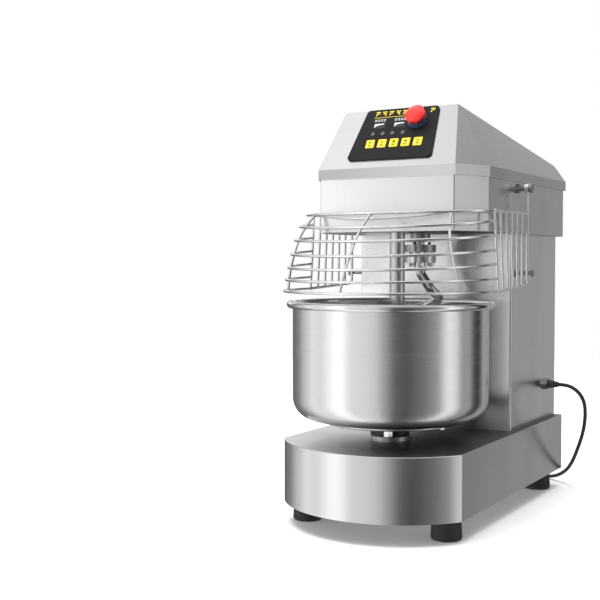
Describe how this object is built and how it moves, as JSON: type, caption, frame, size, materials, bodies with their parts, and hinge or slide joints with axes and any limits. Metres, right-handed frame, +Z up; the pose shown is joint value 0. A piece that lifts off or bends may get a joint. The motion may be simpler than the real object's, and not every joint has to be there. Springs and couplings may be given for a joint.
{
  "type": "spiral dough mixer",
  "caption": "Floor-standing spiral dough mixer with a turning steel bowl, spiral hook, breaker bar, swing-up wire guard and sloped control panel.",
  "frame": {"origin": "on the floor, under the middle of the machine's box", "axes": "+Z up, +X the operator's right, +Y to the back"},
  "size_m": [0.4472, 0.8945, 0.7683],
  "materials": {
    "brushed_steel": "brushed",
    "bowl_steel": "satin, spun",
    "wire_steel": "polished",
    "bright_steel": "polished",
    "zinc_steel": "zinc plated",
    "black_rubber": "matte",
    "panel_black": "satin film",
    "key_yellow": "satin",
    "key_grey": "satin",
    "display_dark": "gloss",
    "stop_red": "gloss",
    "collar_grey": "satin",
    "black_hub": "satin",
    "cast_drive": "oiled",
    "black_nylon": "satin",
    "belt_rubber": "matte",
    "chain_steel": "oiled",
    "board_green": "satin",
    "motor_paint": "satin",
    "switch_grey": "satin",
    "cord_black": "satin"
  },
  "bodies": {
    "frame": {"base_shell": "brushed_steel", "base_plate": "zinc_steel", "rubber_feet": "black_rubber", "foot_fasteners": "zinc_steel", "column_shell": "brushed_steel", "rear_cover": "brushed_steel", "cover_screws": "bright_steel", "head_shell": "brushed_steel", "lid": "brushed_steel", "control_panel": "panel_black", "displays": "display_dark", "control_board": "board_green", "estop_collar": "collar_grey", "estop_block": "collar_grey", "hub_ring": "bright_steel", "bearing_housings": "cast_drive", "shaft_bearings": "bright_steel", "drive_belt": "belt_rubber", "drive_chains": "chain_steel", "gear_plate": "zinc_steel", "motor": "motor_paint", "switch_boxes": "switch_grey", "breaker_bar": "bright_steel", "breaker_tip": "black_nylon", "breaker_fin": "bright_steel", "breaker_clamp": "bright_steel", "guard_mounts": "bright_steel", "cord_gland": "switch_grey", "strain_relief": "cord_black", "power_cord": "cord_black", "cord_coil": "cord_black", "power_plug": "cord_black"},
    "bowl": {"bowl": "bowl_steel", "bowl_disc": "brushed_steel", "bowl_bolts": "bright_steel", "bowl_hub": "black_hub", "bowl_drive": "cast_drive"},
    "spiral": {"spiral_hook": "bright_steel", "spiral_shaft": "bright_steel", "coupling_bolts": "bright_steel"},
    "jackshaft": {"jackshaft": "cast_drive"},
    "idler": {"idler": "cast_drive"},
    "rotor": {"motor_rotor": "cast_drive", "motor_pulley": "cast_drive"},
    "guard": {"guard_hoops": "wire_steel", "guard_ribs": "wire_steel", "guard_side_right": "wire_steel", "guard_side_left": "wire_steel"},
    "estop_stem": {"estop_stem": "stop_red"},
    "estop_head": {"estop_head": "stop_red"},
    "square_key_1": {"square_key_1": "key_yellow"},
    "square_key_2": {"square_key_2": "key_yellow"},
    "square_key_3": {"square_key_3": "key_yellow"},
    "square_key_4": {"square_key_4": "key_yellow"},
    "square_key_5": {"square_key_5": "key_yellow"},
    "round_key_1": {"round_key_1": "key_grey"},
    "round_key_2": {"round_key_2": "key_grey"},
    "round_key_3": {"round_key_3": "key_grey"},
    "round_key_4": {"round_key_4": "key_grey"}
  },
  "joints": [
    {"name": "bowl_spin", "type": "hinge", "parent": "frame", "child": "bowl", "pos_m": [0, -0.1525, 0.2], "axis": [0, 0, 1], "continuous": true},
    {"name": "spiral_spin", "type": "hinge", "parent": "frame", "child": "spiral", "pos_m": [0.019, -0.0625, 0.5], "axis": [0, 0, 1], "continuous": true},
    {"name": "jackshaft_spin", "type": "hinge", "parent": "frame", "child": "jackshaft", "pos_m": [0.06, 0.1775, 0.3], "axis": [0, 0, 1], "continuous": true},
    {"name": "idler_spin", "type": "hinge", "parent": "frame", "child": "idler", "pos_m": [-0.04, 0.0375, 0.1], "axis": [0, 0, 1], "continuous": true},
    {"name": "rotor_spin", "type": "hinge", "parent": "frame", "child": "rotor", "pos_m": [-0.064, 0.1725, 0.44], "axis": [0, 0, 1], "continuous": true},
    {"name": "guard_swing", "type": "hinge", "parent": "frame", "child": "guard", "pos_m": [0, 0.0515, 0.622], "axis": [-1, 0, 0], "range_deg": [0, 70]},
    {"name": "estop_push", "type": "slide", "parent": "frame", "child": "estop_stem", "axis": [0, 0.8612, -0.5083], "range_m": [0, 0.004], "stiffness_N_per_m": 2000, "springref_m": -0.001},
    {"name": "estop_twist", "type": "hinge", "parent": "estop_stem", "child": "estop_head", "pos_m": [0.044, -0.13072, 0.74366], "axis": [0, -0.8612, 0.5083], "range_deg": [0, 35], "stiffness_Nm_per_rad": 0.1},
    {"name": "square_key_1_press", "type": "slide", "parent": "frame", "child": "square_key_1", "axis": [0, 0.8612, -0.5083], "range_m": [0, 0.0008], "stiffness_N_per_m": 1500},
    {"name": "square_key_2_press", "type": "slide", "parent": "frame", "child": "square_key_2", "axis": [0, 0.8612, -0.5083], "range_m": [0, 0.0008], "stiffness_N_per_m": 1500},
    {"name": "square_key_3_press", "type": "slide", "parent": "frame", "child": "square_key_3", "axis": [0, 0.8612, -0.5083], "range_m": [0, 0.0008], "stiffness_N_per_m": 1500},
    {"name": "square_key_4_press", "type": "slide", "parent": "frame", "child": "square_key_4", "axis": [0, 0.8612, -0.5083], "range_m": [0, 0.0008], "stiffness_N_per_m": 1500},
    {"name": "square_key_5_press", "type": "slide", "parent": "frame", "child": "square_key_5", "axis": [0, 0.8612, -0.5083], "range_m": [0, 0.0008], "stiffness_N_per_m": 1500},
    {"name": "round_key_1_press", "type": "slide", "parent": "frame", "child": "round_key_1", "axis": [0, 0.8612, -0.5083], "range_m": [0, 0.0008], "stiffness_N_per_m": 1200},
    {"name": "round_key_2_press", "type": "slide", "parent": "frame", "child": "round_key_2", "axis": [0, 0.8612, -0.5083], "range_m": [0, 0.0008], "stiffness_N_per_m": 1200},
    {"name": "round_key_3_press", "type": "slide", "parent": "frame", "child": "round_key_3", "axis": [0, 0.8612, -0.5083], "range_m": [0, 0.0008], "stiffness_N_per_m": 1200},
    {"name": "round_key_4_press", "type": "slide", "parent": "frame", "child": "round_key_4", "axis": [0, 0.8612, -0.5083], "range_m": [0, 0.0008], "stiffness_N_per_m": 1200}
  ],
  "couplings": [
    {"joint": "spiral_spin", "follows": "bowl_spin", "ratio": 4.5},
    {"joint": "jackshaft_spin", "follows": "bowl_spin", "ratio": 9},
    {"joint": "idler_spin", "follows": "bowl_spin", "ratio": 3},
    {"joint": "rotor_spin", "follows": "bowl_spin", "ratio": 30}
  ]
}
